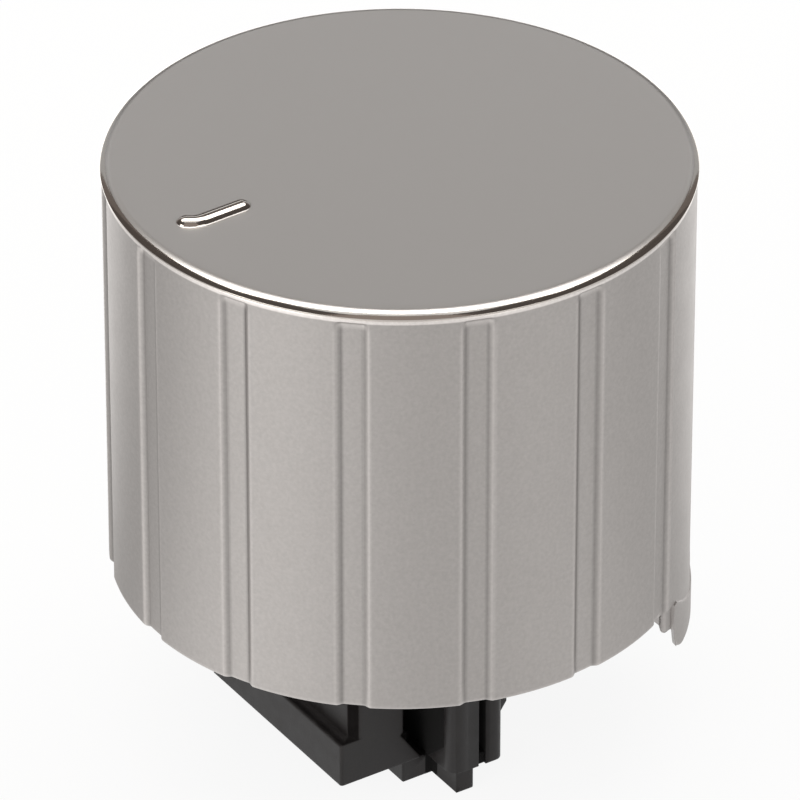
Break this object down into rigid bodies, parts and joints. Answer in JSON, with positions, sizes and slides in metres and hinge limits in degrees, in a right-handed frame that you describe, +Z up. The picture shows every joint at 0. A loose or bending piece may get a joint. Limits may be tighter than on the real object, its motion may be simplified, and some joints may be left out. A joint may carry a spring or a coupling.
{
  "type": "oven control knob",
  "caption": "Round satin-silver oven knob with a fluted skirt, a flat metal face with a raised pointer, a stop lug and a black moulded core for a D-shaped control shaft.",
  "frame": {"origin": "on the knob's axis, in the plane of the core's feet, on which the knob stands", "axes": "+Z up the knob's axis from the shaft side to the face, -Y towards the pointer, +X to the right as the face is read with the pointer down"},
  "size_m": [0.0402, 0.0402, 0.045],
  "materials": {
    "silver_skirt": "satin metallic silver coat",
    "satin_cap": "fine satin face with a polished edge",
    "black_core": "moulded black, dull",
    "spring_steel": "rolled strip"
  },
  "bodies": {
    "root": {"skirt": "silver_skirt", "face_cap": "satin_cap", "core": "black_core", "shaft_spring": "spring_steel"}
  },
  "joints": []
}
